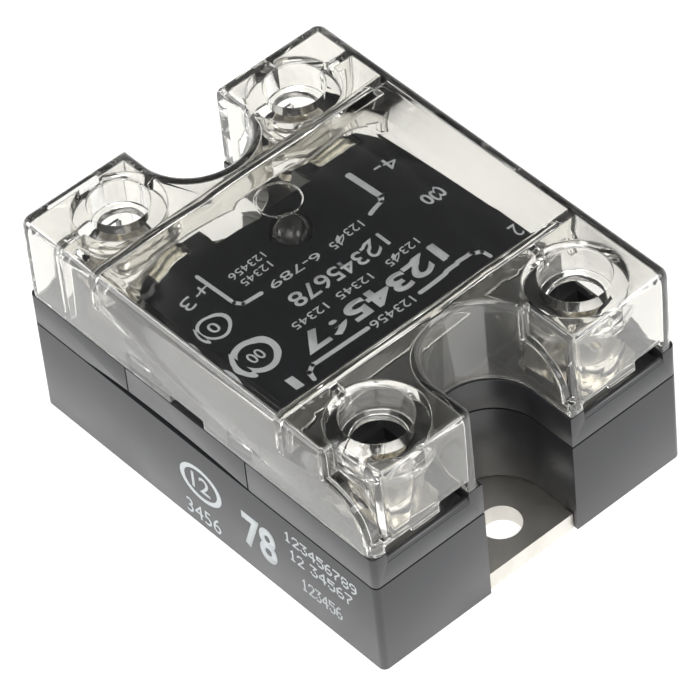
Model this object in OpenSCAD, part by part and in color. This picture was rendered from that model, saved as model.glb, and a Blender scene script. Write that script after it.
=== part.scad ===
// Panel-mount solid state relay: a metal base plate that bolts to a heatsink, a two-part
// moulded housing, four screw terminals and a clear snap-on cover.
// +X runs across the relay, +Y along it with the load terminals at the -Y end, +Z up.
// The origin is the centre of the base plate's underside.

/* [Housing] */
// Overall width of the housing and the cover
case_w = 45.2; // [40:0.2:60]
// Overall length of the housing and the cover
case_l = 58.4; // [50:0.2:80]
// Height of the seam between the lower and the upper housing
lower_h = 13.4; // [12.5:0.1:20]
// Height of the upper housing's band above the seam
band_h = 4.7; // [4:0.1:8]
// Thickness of the housing walls
wall = 1.8; // [1.2:0.1:2.2]
// Thickness of the upper housing's deck
deck_t = 1.6; // [1.2:0.1:2.2]
// Radius of the housing's upright corners
corner_r = 0.8; // [0.4:0.1:2]
// Height of the seam groove
seam_gap = 0.25; // [0.1:0.05:0.5]
// Depth of the seam groove
seam_depth = 0.5; // [0.2:0.1:0.8]

/* [Base plate] */
// Thickness of the base plate
plate_t = 2.4; // [1.5:0.1:3.2]
// How far the plate stands out below the housing
plate_proud = 0.15; // [0.05:0.05:0.3]
// Distance from the housing's end face to the plate's end
plate_setback = 0.6; // [0.2:0.1:1.2]
// Distance from the housing's end faces to the fixing hole centres
hole_setback = 5.4; // [5:0.1:6.4]
// Diameter of the round fixing hole and width of the slotted one
hole_d = 5; // [4:0.1:5.4]
// End-to-end length of the slotted fixing hole
slot_len = 6.6; // [5.6:0.1:7.4]

/* [Screw notches] */
// Half width of both notches in the housing
notch_half = 6.6; // [5.5:0.1:7.2]
// Distance from the front face to the centre of the front notch's round end
front_notch_y = 6; // [5:0.1:7.5]
// Distance from the rear face to the centre of the rear notch's round end
rear_notch_y = 3.7; // [3.2:0.1:5]

/* [Label block] */
// Height of the raised block above the upper housing's deck
block_h = 7; // [5.5:0.1:7.6]
// Room between the block and the outside of the case at the sides
block_side = 3.7; // [3.2:0.1:5]
// Distance from the front face to the block
block_front = 14.8; // [14.5:0.1:18]
// Distance from the rear face to the block's rear ears
block_rear = 12.7; // [12.5:0.1:16]
// Room between the block and the rear notch
block_cut = 5.8; // [4:0.1:7]
// Wall thickness of the block
block_wall = 1.6; // [1.2:0.1:2]
// Thickness of the label
label_t = 0.2; // [0.1:0.05:0.3]
// Margin of the block left bare around the label
label_margin = 0.3; // [0.2:0.1:1.5]

/* [Clear cover] */
// Height of the cover
cover_h = 12; // [11.5:0.1:16]
// Thickness of the cover's walls and roof
cover_wall = 1.2; // [0.8:0.1:1.4]
// Radius of the cover's upright corners
cover_r = 1.5; // [1.3:0.1:2.5]
// How far the cover's notch walls stand back from the housing's
cover_notch_step = 0.15; // [0.1:0.05:0.6]
// Depth of each front nose, from the front face to the step in its side
nose_l = 7; // [6:0.1:9]
// How far the outer nose's side stands in from the housing's side
nose_inset = 2.15; // [1:0.05:2.4]
// How far the inner nose's side stands in from the notch wall
nose_notch_inset = 0.75; // [0.4:0.05:1]
// Height of the corner foot under each nose
foot_h = 2.1; // [1.6:0.1:3]
// Width of the corner foot under each nose
foot_w = 2.1; // [1.6:0.1:2.6]
// Depth of the ribs under the cover's roof
ridge_h = 3; // [1.5:0.1:3.2]
// Thickness of the ribs under the cover's roof
ridge_t = 1.1; // [0.8:0.1:1.5]

/* [Load terminals] */
// Distance from the front face to the load screw centres
load_setback = 7; // [6.8:0.1:7.6]
// Nominal size of the load screws
load_screw_d = 4; // [3.5:0.1:4.2]
// Head diameter of the load screws
load_head_d = 8; // [7:0.1:8.2]
// Head height of the load screws
load_head_h = 3; // [2.4:0.1:3.2]
// Thickness of the load terminal strips
load_strip_t = 1; // [0.8:0.1:1.2]
// Width of the load terminal strips
load_strip_w = 8; // [7:0.1:9]
// Outer diameter of the front screw tubes
load_tube_d = 11.7; // [11:0.1:12]
// Bore of the front screw tubes
load_tube_bore = 8.3; // [8:0.1:9]

/* [Control terminals] */
// Distance from the rear face to the control screw centres
control_setback = 6.55; // [6.3:0.05:7]
// How much further in the control screws sit than the load screws
control_inboard = 1.5; // [0.5:0.1:2]
// Nominal size of the control screws
control_screw_d = 3.5; // [3:0.1:3.6]
// Head diameter of the control screws
control_head_d = 6.8; // [6:0.1:6.9]
// Head height of the control screws
control_head_h = 2.2; // [1.8:0.1:2.6]
// Thickness of the control terminal strips
control_strip_t = 0.8; // [0.6:0.1:1]
// Width of the control terminal strips
control_strip_w = 6.6; // [6:0.1:7.4]
// Outer diameter of the rear screw tubes
control_tube_d = 11; // [10:0.1:11.4]
// Bore of the rear screw tubes
control_tube_bore = 7.2; // [7:0.1:8]

/* [Clearances] */
// Gap between parts that are laid or dropped into each other
fit_gap = 0.1; // [0.05:0.05:0.2]
// Radial gap round a screw in its threaded nut
thread_gap = 0.05; // [0.03:0.01:0.1]
// Gap round the cover's tongues, and between moving parts
slide_gap = 0.2; // [0.1:0.05:0.4]
// Gap between the cover's lower edge and the housing
seat_gap = 0.05; // [0.02:0.01:0.1]

/* [Hidden] */

$fn = 64;
eps = 0.01;
far = 200;

// Overall heights and half sizes
hx = case_w / 2;
hy = case_l / 2;
band_top = lower_h + band_h;
block_top = band_top + block_h;
cover_z = band_top + seat_gap;
cover_top = band_top + cover_h;
roof_z = cover_top - cover_wall;

// Notch centres and round ends
front_c = -hy + front_notch_y;
rear_c = hy - rear_notch_y;
rear_apex = rear_c - notch_half;

// Terminals
load_x = (notch_half + hx) / 2;
load_y = -hy + load_setback;
control_x = load_x - control_inboard;
control_y = hy - control_setback;
load_floor = band_top - 1.9;
load_seat = load_floor + load_strip_t;
control_floor = band_top;
control_seat = control_floor + control_strip_t;
load_nut_w = 7;
load_nut_t = 3.2;
control_nut_w = 6;
control_nut_t = 2.4;
nut_floor = 1;
boss_wall = 1.4;
load_clamp_t = 1;
control_clamp_t = 0.8;
load_clamp_w = 8.6;
control_clamp_w = 7;
load_shank = 8;
control_shank = 7;

// Inside of the housing
plate_top = plate_t;
housing_z = plate_proud;
lip_h = 1.2;
lip_t = 1;
room_front = front_c + notch_half + wall;
room_rear = rear_c - notch_half - wall;
pocket_l = 12.2;
load_leg_y = -hy + wall + pocket_l - 1;
pcb_t = 1.6;
pcb_z = 9.4;
pcb_top = pcb_z + pcb_t;
pcb_half = hx - wall - 1.2;
pcb_front = load_leg_y + load_strip_t + 1;
control_leg_y = hy - block_rear + 0.5;
pcb_rear = control_leg_y + control_strip_t + 0.6;
ledge = 3;

// Power stage
sub_t = 0.63;
pad_t = 0.3;
chip_t = 0.4;
chip_w = 7;
clip_t = 0.4;
sub_half = load_x + 3;
sub_front = room_front + 3;
sub_rear = room_rear - 4;
pad_z = plate_top + sub_t;
chip_z = pad_z + pad_t;
clip_z = chip_z + chip_t;
leg_w = 3.4;
pin_w = 0.8;
pad_in = 0.8;
pad_out = sub_half - 1;
pad_l = sub_rear - sub_front - 2;
pad_y = (sub_rear + sub_front) / 2;
chip_x = (pad_in + pad_out) / 2 - 1;
chip_dy = pad_l / 4;
gel_top = 7;

// Label block
recess_wall = 1;
shelf_w = 5;
shelf_in = 1.7;
shelf_z = block_top - 1.6;
block_x = hx - block_side;
block_y0 = -hy + block_front;
block_y1 = hy - block_rear;
block_cut_x = notch_half + 0.9;
block_cut_y = rear_apex - block_cut;
led_d = 5;
led_flange = 0.4;
led_y = block_cut_y - block_wall - led_d / 2 - led_flange - fit_gap;
led_flange_h = 1;
led_base = block_top - block_wall - led_flange_h;

// Cover
cover_n = notch_half + cover_notch_step;
tube_l = cover_wall + 3.3;
eye_t = 1;
eye_step = 0.85;
front_ridge_y = block_y0;
rear_ridge_y = block_y1 + 0.1;
tongue_w = 4;
tongue_t = 1;
tongue_l = 3.2;
tongue_y = [-hy * 0.24, hy * 0.34];
pry_y = [-hy * 0.28, hy * 0.42];
pry_slit = 0.2;
bow_y = [-hy * 0.3, hy * 0.68];
bow_h = 0.8;
bow_depth = 0.9;
lip_r = 0.5;
lip_in = 0.05;
sill_drop = 0.6;
window_l = 5.6;
window_h = 1.4;
window_y = 1.5;
sweep_r = 6.2;
entry_half = load_x - notch_half - wall - 0.2;
entry_steps = [1.1, 0.4, 1.9];
entry_step_l = [0.32, 0.34];
rear_entry_h = 3;
nose_arc_h = 1.6;
lens_y = 1.9;
lens_depth = 0.15;

// A rectangle with true round corners
module round_rect(w, l, r) {
    square([w - 2 * r, l], center = true);
    square([w, l - 2 * r], center = true);
    for (sx = [-1, 1])
        for (sy = [-1, 1])
            translate([sx * (w / 2 - r), sy * (l / 2 - r)])
                circle(r = r);
}

// The case's plan, drawn in by d on every side, with notches of half width n
module plan(d, r, n) {
    difference() {
        round_rect(case_w - 2 * d, case_l - 2 * d, max(r - d, 0.2));
        translate([0, front_c])
            circle(r = n + d);
        translate([-(n + d), front_c - far])
            square([2 * (n + d), far]);
        translate([0, rear_c])
            circle(r = n + d);
        translate([-(n + d), rear_c])
            square([2 * (n + d), far]);
    }
}

// A box from its low corner to its high corner
module span(low, high) {
    translate(low)
        cube(high - low);
}

// ---------------------------------------------------------------- base plate
module base_plate() {
    half_w = hx - wall - fit_gap;
    half_l = hy - wall - fit_gap;
    tongue = notch_half - fit_gap;
    color("silver")
        difference() {
            union() {
                span([-half_w, -half_l, 0], [half_w, half_l, plate_t]);
                span([-tongue, -hy + plate_setback, 0], [tongue, hy - plate_setback, plate_t]);
            }
            translate([0, -hy + hole_setback, -1])
                cylinder(d = hole_d, h = plate_t + 2);
            for (s = [-1, 1])
                translate([0, hy - hole_setback + s * (slot_len - hole_d) / 2, -1])
                    cylinder(d = hole_d, h = plate_t + 2);
            translate([-hole_d / 2, hy - hole_setback - (slot_len - hole_d) / 2, -1])
                cube([hole_d, slot_len - hole_d, plate_t + 2]);
        }
}

// ------------------------------------------------------------- lower housing
module pcb_ledges() {
    for (sx = [-1, 1])
        for (y = [pcb_front + 1, pcb_rear - ledge - 5])
            mirror([sx < 0 ? 1 : 0, 0, 0])
                span([pcb_half - ledge + 1, y, plate_top + fit_gap],
                     [hx - wall + eps, y + ledge, pcb_z]);
}

module lower_housing() {
    color("dimgray") {
        difference() {
            translate([0, 0, housing_z])
                linear_extrude(lower_h - housing_z)
                    difference() {
                        plan(0, corner_r, notch_half);
                        plan(wall, corner_r, notch_half);
                    }
            span([-(hx - wall), -(hy - wall), -1], [hx - wall, hy - wall, plate_top + fit_gap]);
        }
        pcb_ledges();
    }
}

// ------------------------------------------------------------- upper housing
// Outer shape of the raised block
module block_plan(d) {
    c = 2 - d / 2;
    difference() {
        polygon([
            [-block_x + d, block_y0 + d], [block_x - d, block_y0 + d],
            [block_x - d, block_y1 - d - c], [block_x - d - c, block_y1 - d],
            [-block_x + d + c, block_y1 - d], [-block_x + d, block_y1 - d - c]
        ]);
        translate([-block_cut_x - d, block_cut_y - d])
            square([2 * (block_cut_x + d), far]);
    }
}

// Slots in the deck for the load legs, the control legs and the cover's tongues
module deck_slots() {
    for (s = [-1, 1]) {
        span([s * load_x - leg_w / 2 - fit_gap, load_leg_y - fit_gap, lower_h - 2],
             [s * load_x + leg_w / 2 + fit_gap, load_leg_y + load_strip_t + fit_gap, band_top + 1]);
        span([s * control_x - pin_w - fit_gap, control_leg_y - fit_gap, lower_h - 2],
             [s * control_x + pin_w + fit_gap, control_leg_y + control_strip_t + fit_gap, band_top + 1]);
        mirror([s < 0 ? 1 : 0, 0, 0])
            for (y = tongue_y)
                span([hx - cover_wall - tongue_t - slide_gap, y - tongue_w / 2 - slide_gap,
                      band_top - tongue_l - slide_gap],
                     [hx - cover_wall + slide_gap, y + tongue_w / 2 + slide_gap, band_top + 1]);
    }
}

// Recess in the deck that a load terminal lies in, open to the front over a lip
module load_pockets() {
    for (s = [-1, 1])
        translate([s * load_x, 0, 0]) {
            span([-(hx - notch_half) / 2 + wall, -hy + wall, load_floor],
                 [(hx - notch_half) / 2 - wall, -hy + wall + pocket_l, band_top + 1]);
            span([-entry_half, -hy - 1, load_seat - sill_drop],
                 [entry_half, -hy + wall + 1, band_top + 1]);
        }
}

module nut_holes() {
    for (s = [-1, 1]) {
        translate([s * load_x, load_y, 0]) {
            span([-load_nut_w / 2 - fit_gap, -load_nut_w / 2 - fit_gap, load_floor - load_nut_t],
                 [load_nut_w / 2 + fit_gap, load_nut_w / 2 + fit_gap, load_floor + 1]);
            translate([0, 0, lower_h - far / 2])
                cylinder(d = load_screw_d + 2 * slide_gap, h = far / 2);
        }
        translate([s * control_x, control_y, 0]) {
            span([-control_nut_w / 2 - fit_gap, -control_nut_w / 2 - fit_gap, control_floor - control_nut_t],
                 [control_nut_w / 2 + fit_gap, control_nut_w / 2 + fit_gap, control_floor + 1]);
            translate([0, 0, control_floor - far])
                cylinder(d = control_screw_d + 2 * slide_gap, h = far);
        }
    }
}

// Side view of the long gap where the upper housing's lower edge bows up between its ends
module bowed_gap() {
    mid = (bow_y[0] + bow_y[1]) / 2;
    half = (bow_y[1] - bow_y[0]) / 2;
    polygon(concat(
        [[bow_y[1], lower_h - 1], [bow_y[0], lower_h - 1]],
        [for (t = [-1 : 0.125 : 1]) [mid + t * half, lower_h + seam_gap + bow_h * (1 - t * t)]]
    ));
}

// The bowed gap in both long sides, and the slits above it
module side_slits() {
    for (s = [-1, 1])
        mirror([s < 0 ? 1 : 0, 0, 0]) {
            translate([hx - bow_depth, 0, 0])
                rotate([90, 0, 90])
                    linear_extrude(bow_depth + 1)
                        bowed_gap();
            for (y = pry_y)
                span([hx - seam_depth, y - pry_slit / 2, lower_h - 1],
                     [hx + 1, y + pry_slit / 2, band_top + 1]);
        }
}

// Recesses in the block's ears for the inner ends of the control terminals, grown by g
module shelf_recesses(g) {
    for (s = [-1, 1])
        translate([s * control_x, 0, 0])
            span([-shelf_w / 2 - slide_gap - g, block_y1 - shelf_in - slide_gap - g, shelf_z - slide_gap - g],
                 [shelf_w / 2 + slide_gap + g, block_y1 + 1, block_top + 1]);
}

module upper_housing() {
    lip_out = wall + fit_gap;
    load_boss = load_nut_w / 2 + boss_wall;
    control_boss = control_nut_w / 2 + boss_wall;
    color([0.28, 0.28, 0.3]) {
        difference() {
            union() {
                // Band, standing on the lower housing with a groove outside
                translate([0, 0, lower_h])
                    linear_extrude(band_h)
                        difference() {
                            plan(seam_depth, corner_r, notch_half);
                            plan(wall, corner_r, notch_half);
                        }
                translate([0, 0, lower_h + seam_gap])
                    linear_extrude(band_h - seam_gap)
                        difference() {
                            plan(0, corner_r, notch_half);
                            plan(wall, corner_r, notch_half);
                        }
                // Lip that locates inside the lower housing
                translate([0, 0, lower_h - lip_h])
                    linear_extrude(lip_h + 1)
                        difference() {
                            plan(lip_out, corner_r, notch_half);
                            plan(lip_out + lip_t, corner_r, notch_half);
                        }
                translate([0, 0, lower_h])
                    linear_extrude(1)
                        difference() {
                            plan(wall - eps, corner_r, notch_half);
                            plan(lip_out + lip_t, corner_r, notch_half);
                        }
                // Deck
                translate([0, 0, band_top - deck_t])
                    linear_extrude(deck_t)
                        plan(seam_depth, corner_r, notch_half);
                // Trays under the load terminals, and the nut bosses
                for (s = [-1, 1]) {
                    translate([s * load_x, 0, 0]) {
                        span([-(hx - notch_half) / 2 + wall - eps, -hy + wall - eps, load_floor - deck_t],
                             [(hx - notch_half) / 2 - wall + eps, -hy + wall + pocket_l + wall, band_top]);
                        span([-load_boss, load_y - load_boss, load_floor - load_nut_t - nut_floor],
                             [load_boss, load_y + load_boss, load_floor]);
                    }
                    translate([s * control_x, control_y, 0])
                        span([-control_boss, -control_boss, control_floor - control_nut_t - nut_floor],
                             [control_boss, control_boss, control_floor]);
                }
                // Raised block
                translate([0, 0, band_top - eps])
                    linear_extrude(block_h + eps)
                        block_plan(0);
            }
            difference() {
                translate([0, 0, band_top - deck_t - 1])
                    linear_extrude(block_h + deck_t + 1 - block_wall)
                        block_plan(block_wall);
                shelf_recesses(recess_wall);
            }
            shelf_recesses(0);
            load_pockets();
            nut_holes();
            deck_slots();
            side_slits();
            translate([0, led_y, block_top - block_wall - 1])
                cylinder(d = led_d + 2 * fit_gap, h = block_wall + 2);
        }
        // Rounded lip bar that the load wires pass over
        for (s = [-1, 1])
            translate([s * load_x - entry_half - eps, -hy + lip_r + lip_in, load_seat - lip_r])
                rotate([0, 90, 0])
                    cylinder(r = lip_r, h = 2 * (entry_half + eps));
    }
}

// --------------------------------------------------------------- clear cover
// Side view of the cut beside a nose: forward of the step, above a rounded shoulder.
// g grows the cut by the wall it leaves behind.
module nose_cut(g) {
    step_y = -hy + nose_l + g;
    arc_y = -hy + nose_l;
    arc_z = band_top + nose_arc_h;
    r = sweep_r - g;
    foot_z = band_top + foot_h - g;
    polygon(concat(
        [[-hy - 2, cover_top + 2], [step_y, cover_top + 2], [step_y, arc_z + r]],
        [for (a = [0 : 6 : 84]) [arc_y - r * sin(a), arc_z + r * cos(a)]],
        [[arc_y - r, foot_z], [-hy - 2, foot_z]]
    ));
}

// The cuts beside both noses, each on the nose's -X side
module nose_cuts(g) {
    for (cut = [[-hx - 1, -hx + nose_inset], [cover_n - 1, cover_n + nose_notch_inset]])
        translate([cut[0], 0, 0])
            rotate([90, 0, 90])
                linear_extrude(cut[1] - cut[0] + g)
                    nose_cut(g);
}

// Stepped wire entry in the lower edge of a nose's front wall
module wire_entry() {
    w = 2 * entry_half;
    inner_y = -hy + cover_wall + eps;
    span([-entry_half, -hy - 1, band_top - 1],
         [-entry_half + w * entry_step_l[0], inner_y, band_top + entry_steps[0]]);
    span([-entry_half, -hy - 1, band_top - 1], [entry_half, inner_y, band_top + entry_steps[1]]);
    span([entry_half - w * entry_step_l[1], -hy - 1, band_top - 1],
         [entry_half, inner_y, band_top + entry_steps[2]]);
}

module tubes(grow, d_load, d_control, low, high) {
    for (s = [-1, 1]) {
        translate([s * load_x, load_y, low])
            cylinder(d = d_load + grow, h = high - low);
        translate([s * control_x, control_y, low])
            cylinder(d = d_control + grow, h = high - low);
    }
}

// Ribs under the roof, with a short leg where each meets a side wall
module roof_ribs() {
    in_x = hx - cover_wall;
    for (y = [front_ridge_y, rear_ridge_y])
        span([-in_x - eps, y - ridge_t / 2, roof_z - ridge_h], [in_x + eps, y + ridge_t / 2, roof_z + eps]);
    for (s = [-1, 1]) {
        for (y = [front_ridge_y, rear_ridge_y])
            translate([s * (in_x - 0.5), y, (roof_z + block_top - 1) / 2])
                cube([1 + 2 * eps, ridge_t, roof_z - block_top + 1], center = true);
        // Web and leg between each rear tube and the side wall
        mirror([s < 0 ? 1 : 0, 0, 0]) {
            span([control_x + control_tube_bore / 2 + 0.5, control_y - 0.5, roof_z - 1.6],
                 [in_x + eps, control_y + 0.5, roof_z + eps]);
            span([in_x - 1.2, control_y - 0.5, band_top + 0.3], [in_x + eps, control_y + 0.5, roof_z + eps]);
            span([control_x - 0.5, control_y + control_tube_bore / 2 + 0.5, roof_z - 1.6],
                 [control_x + 0.5, hy - cover_wall + eps, roof_z + eps]);
            span([load_x - 0.5, load_y + load_tube_bore / 2 + 0.5, roof_z - 1.6],
                 [load_x + 0.5, front_ridge_y, roof_z + eps]);
        }
    }
}

module clear_cover() {
    color([0.85, 0.9, 0.92, 0.35])
        difference() {
            union() {
                difference() {
                    translate([0, 0, cover_z])
                        linear_extrude(cover_top - cover_z)
                            plan(0, cover_r, cover_n);
                    difference() {
                        translate([0, 0, cover_z - 1])
                            linear_extrude(roof_z - cover_z + 1)
                                plan(cover_wall, cover_r, cover_n);
                        nose_cuts(cover_wall);
                    }
                }
                intersection() {
                    union() {
                        roof_ribs();
                        tubes(0, load_tube_d, control_tube_d, cover_top - tube_l, cover_top);
                    }
                    translate([0, 0, cover_z])
                        linear_extrude(cover_top - cover_z)
                            plan(eps, cover_r, cover_n);
                }
                // Locating tongues
                for (s = [0, 1])
                    mirror([s, 0, 0])
                        for (y = tongue_y)
                            span([hx - cover_wall - tongue_t, y - tongue_w / 2, band_top - tongue_l],
                                 [hx - cover_wall + eps, y + tongue_w / 2, band_top + 2.5]);
            }
            nose_cuts(0);
            // Screwdriver holes: a wide bore down to a smaller eye
            tubes(0, load_tube_bore, control_tube_bore, cover_top - tube_l + eye_t, cover_top + 1);
            tubes(-2 * eye_step, load_tube_bore, control_tube_bore, cover_top - tube_l - 1, cover_top + 1);
            // Wire entries at the front and the rear
            for (s = [-1, 1]) {
                translate([s * load_x, 0, 0])
                    wire_entry();
                translate([s * control_x, 0, 0])
                    span([-control_clamp_w / 2, hy - cover_wall - eps, band_top - 1],
                         [control_clamp_w / 2, hy + 1, band_top + rear_entry_h]);
            }
            // Release windows in the long sides
            for (s = [-1, 1])
                mirror([s < 0 ? 1 : 0, 0, 0])
                    span([hx - cover_wall - eps, window_y - window_l / 2, band_top - 1],
                         [hx + 1, window_y + window_l / 2, band_top + window_h]);
            // Shallow round lens recess over the status light
            translate([0, led_y + lens_y, roof_z - 1])
                cylinder(d = led_d + led_flange, h = 1 + lens_depth);
        }
}

// --------------------------------------------------------------------- label
module label() {
    color([0.16, 0.18, 0.2])
        translate([0, 0, block_top])
            linear_extrude(label_t)
                difference() {
                    block_plan(label_margin);
                    translate([0, led_y])
                        circle(d = led_d + 4 * fit_gap);
                    for (s = [-1, 1])
                        translate([s * control_x - shelf_w / 2 - slide_gap - label_margin,
                                   block_y1 - shelf_in - slide_gap - label_margin])
                            square([shelf_w + 2 * (slide_gap + label_margin), far]);
                }
}

// ---------------------------------------------------------------- status LED
module status_led() {
    color([0.25, 0.25, 0.26])
        translate([0, led_y, 0]) {
            rotate_extrude()
                difference() {
                    union() {
                        translate([0, led_base])
                            square([led_d / 2 + led_flange, led_flange_h - eps]);
                        translate([0, led_base])
                            square([led_d / 2, block_top - led_base - 0.8]);
                        translate([0, block_top - 0.8])
                            circle(r = led_d / 2);
                    }
                    translate([-far, -far / 2])
                        square([far, far]);
                    translate([0, led_base - far])
                        square([far, far]);
                }
            for (s = [-1, 1])
                span([s * 1.27 - 0.25, -0.25, pcb_z - 1], [s * 1.27 + 0.25, 0.25, led_base + 0.5]);
        }
}

// ----------------------------------------------------------- load terminals
// Flat seat under the screw, a leg through the deck and a foot on the copper pad
module load_terminal(side) {
    color([0.78, 0.74, 0.66])
        translate([side * load_x, 0, 0])
            difference() {
                union() {
                    span([-load_strip_w / 2, -hy + wall + 1, load_floor],
                         [load_strip_w / 2, load_leg_y - 1, load_seat]);
                    span([-leg_w / 2, load_leg_y - 1 - eps, load_floor],
                         [leg_w / 2, load_leg_y + load_strip_t, load_seat]);
                    span([-leg_w / 2, load_leg_y, chip_z], [leg_w / 2, load_leg_y + load_strip_t, load_seat]);
                    span([-leg_w / 2, load_leg_y, chip_z], [leg_w / 2, sub_front + 3.5, chip_z + load_strip_t]);
                }
                translate([0, load_y, load_floor - 1])
                    cylinder(d = load_screw_d + 2 * slide_gap, h = load_strip_t + 2);
            }
}

module load_terminal_1() { load_terminal(-1); }
module load_terminal_2() { load_terminal(1); }

// -------------------------------------------------------- control terminals
// Flat seat, a riser at its inner end with a ribbed shelf on top, and a pin down to the board
module control_terminal(side) {
    riser_y = control_leg_y + control_strip_t;
    rib = 0.5;
    color([0.8, 0.8, 0.78])
        translate([side * control_x, 0, 0])
            difference() {
                union() {
                    span([-control_strip_w / 2, riser_y - eps, control_floor],
                         [control_strip_w / 2, hy - wall - 0.6, control_seat]);
                    span([-shelf_w / 2, control_leg_y, control_floor],
                         [shelf_w / 2, riser_y, shelf_z + control_strip_t]);
                    span([-shelf_w / 2, block_y1 - shelf_in, shelf_z],
                         [shelf_w / 2, riser_y, shelf_z + control_strip_t]);
                    for (k = [0 : 2])
                        translate([-shelf_w / 2, block_y1 - shelf_in + k * (2.4 * rib), shelf_z])
                            cube([shelf_w, rib, control_strip_t + rib * 0.8]);
                    span([-pin_w, control_leg_y, pcb_z - 1], [pin_w, riser_y, control_seat]);
                }
                translate([0, control_y, control_floor - 1])
                    cylinder(d = control_screw_d + 2 * slide_gap, h = control_strip_t + 2);
            }
}

module control_terminal_3() { control_terminal(-1); }
module control_terminal_4() { control_terminal(1); }

// ---------------------------------------------------------------------- nuts
module nut(w, t, d) {
    difference() {
        translate([-w / 2, -w / 2, -t])
            cube([w, w, t]);
        translate([0, 0, -t - 1])
            cylinder(d = d + 2 * thread_gap, h = t + 2);
    }
}

module load_nuts() {
    color([0.7, 0.7, 0.7])
        for (s = [-1, 1])
            translate([s * load_x, load_y, load_floor])
                nut(load_nut_w, load_nut_t, load_screw_d);
}

module control_nuts() {
    color([0.7, 0.7, 0.7])
        for (s = [-1, 1])
            translate([s * control_x, control_y, control_floor])
                nut(control_nut_w, control_nut_t, control_screw_d);
}

// -------------------------------------------------------------------- screws
// Pan head screw with a cross recess; z = 0 is the underside of the head
module pan_screw(d, head_d, head_h, shank) {
    r = head_d / 2;
    crown = 0.75;
    bow = (r * r + crown * crown) / (2 * crown);
    difference() {
        union() {
            intersection() {
                cylinder(r = r, h = head_h);
                translate([0, 0, head_h - bow])
                    sphere(r = bow, $fn = 96);
            }
            translate([0, 0, -shank])
                cylinder(d = d, h = shank + eps);
        }
        for (a = [0, 90])
            rotate([0, 0, a])
                translate([-r * 0.6, -0.5, head_h - 1.5])
                    cube([r * 1.2, 1, 2]);
        translate([-r * 0.95, -0.4, head_h - 0.9])
            cube([r * 1.9, 0.8, 2]);
    }
}

module load_screw(side) {
    color([0.85, 0.85, 0.83])
        translate([side * load_x, load_y, load_seat + load_clamp_t])
            pan_screw(load_screw_d, load_head_d, load_head_h, load_shank);
}

module control_screw(side) {
    color([0.85, 0.85, 0.83])
        translate([side * control_x, control_y, control_seat + control_clamp_t])
            pan_screw(control_screw_d, control_head_d, control_head_h, control_shank);
}

module terminal_screw_1() { load_screw(-1); }
module terminal_screw_2() { load_screw(1); }
module terminal_screw_3() { control_screw(-1); }
module terminal_screw_4() { control_screw(1); }

// -------------------------------------------------------------- clamp plates
// Square washer with cut corners and shallow grip grooves underneath
module clamp_plate(w, t, d) {
    groove = 0.4;
    difference() {
        intersection() {
            translate([-w / 2, -w / 2, 0])
                cube([w, w, t]);
            translate([0, 0, -1])
                cylinder(r = w * 0.6, h = t + 2);
        }
        translate([0, 0, -1])
            cylinder(d = d + 2 * slide_gap, h = t + 2);
        for (y = [-w * 0.4 : w * 0.2 : w * 0.41])
            translate([-w, y - groove / 2, -1])
                cube([2 * w, groove, 1 + t * 0.25]);
    }
}

module load_clamp(side) {
    color([0.8, 0.8, 0.78])
        translate([side * load_x, load_y, load_seat])
            clamp_plate(load_clamp_w, load_clamp_t, load_screw_d);
}

module control_clamp(side) {
    color([0.8, 0.8, 0.78])
        translate([side * control_x, control_y, control_seat])
            clamp_plate(control_clamp_w, control_clamp_t, control_screw_d);
}

module clamp_plate_1() { load_clamp(-1); }
module clamp_plate_2() { load_clamp(1); }
module clamp_plate_3() { control_clamp(-1); }
module clamp_plate_4() { control_clamp(1); }

// --------------------------------------------------------------- power stage
module ceramic_substrate() {
    color("white")
        span([-sub_half, sub_front, plate_top], [sub_half, sub_rear, pad_z]);
}

module copper_pads() {
    color([0.8, 0.5, 0.3])
        for (s = [0, 1])
            mirror([s, 0, 0])
                span([pad_in, pad_y - pad_l / 2, pad_z], [pad_out, pad_y + pad_l / 2, chip_z]);
}

module thyristor_chips() {
    color([0.35, 0.36, 0.4])
        for (s = [-1, 1])
            translate([s * chip_x, pad_y - s * chip_dy, chip_z])
                translate([-chip_w / 2, -chip_w / 2, 0])
                    cube([chip_w, chip_w, chip_t]);
}

// Copper bridge from the top of one chip to the other pad
module chip_clip(side) {
    w = 4;
    rise = 1.2;
    x0 = side * (chip_x + 2);
    x1 = side * (chip_x - chip_w / 2 - 1);
    x2 = -side * (pad_in + 0.6);
    x3 = -side * (pad_in + 3.2);
    y = pad_y - side * chip_dy;
    color([0.82, 0.54, 0.33])
        for (leg = [
            [x0, x1 + side * clip_t, clip_z, clip_z + clip_t],
            [x1, x1 + side * clip_t, clip_z, clip_z + rise + clip_t],
            [x1, x2, clip_z + rise, clip_z + rise + clip_t],
            [x2, x2 + side * clip_t, chip_z, clip_z + rise + clip_t],
            [x2 + side * clip_t, x3, chip_z, chip_z + clip_t]
        ])
            span([min(leg[0], leg[1]), y - w / 2, leg[2]], [max(leg[0], leg[1]), y + w / 2, leg[3]]);
}

module chip_clip_1() { chip_clip(-1); }
module chip_clip_2() { chip_clip(1); }

// Two pins that carry the gate signals down from the circuit board to the chips
module gate_pins() {
    color([0.85, 0.75, 0.45])
        for (s = [-1, 1])
            translate([s * (chip_x + chip_w / 2 - 0.6), pad_y - s * (chip_dy - 1 + chip_w / 2 - 0.2), 0])
                span([-pin_w / 2, -pin_w / 2, clip_z], [pin_w / 2, pin_w / 2, pcb_top + 0.6]);
}

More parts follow.
